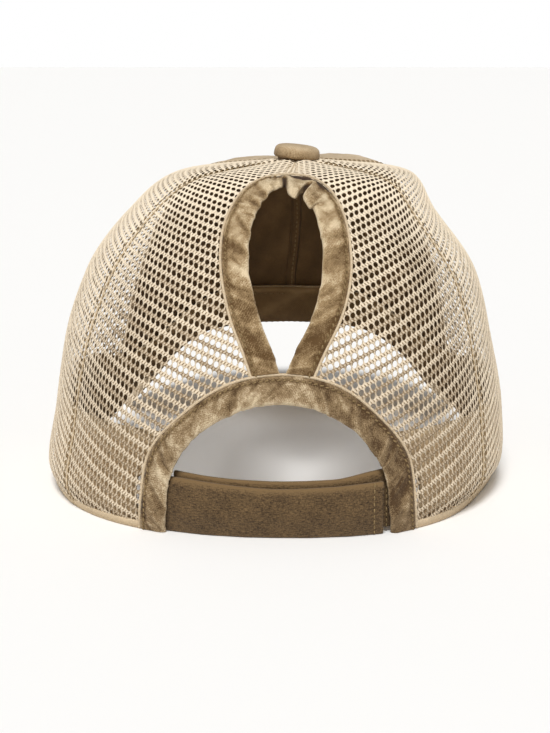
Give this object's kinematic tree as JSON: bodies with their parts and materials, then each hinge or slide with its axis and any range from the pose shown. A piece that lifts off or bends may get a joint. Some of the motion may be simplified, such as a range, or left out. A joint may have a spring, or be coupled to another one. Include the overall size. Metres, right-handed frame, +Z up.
{
  "type": "ponytail baseball cap",
  "caption": "Baseball cap with net sides and back, a bound ponytail slot above an arched back opening with an overlapping strap, a covered top button and a curved brim.",
  "frame": {"origin": "centre of the bounding box at the surface that the cap rests on", "axes": "+Y to the front, where the brim points, +X to the wearer's right, +Z up"},
  "size_m": [0.1798, 0.2688, 0.1298],
  "materials": {
    "front_cloth": "washed cotton twill, matt, worn pale on the folds",
    "net": "stiff knitted polyester net, matt",
    "binding_cloth": "washed cotton twill, folded and stitched, worn pale on the edges",
    "strap_web": "brushed loop fastener, matt",
    "band_cloth": "cotton twill, matt",
    "button_cloth": "cloth stretched over a metal button, matt"
  },
  "bodies": {
    "root": {"front_panel_right": "front_cloth", "front_panel_left": "front_cloth", "side_panel_right": "net", "side_panel_left": "net", "rear_panel_right": "net", "rear_panel_left": "net", "slot_binding": "binding_cloth", "arch_binding": "binding_cloth", "strap_outer": "strap_web", "strap_inner": "strap_web", "sweatband": "band_cloth", "brim": "front_cloth", "button": "button_cloth"}
  },
  "joints": []
}
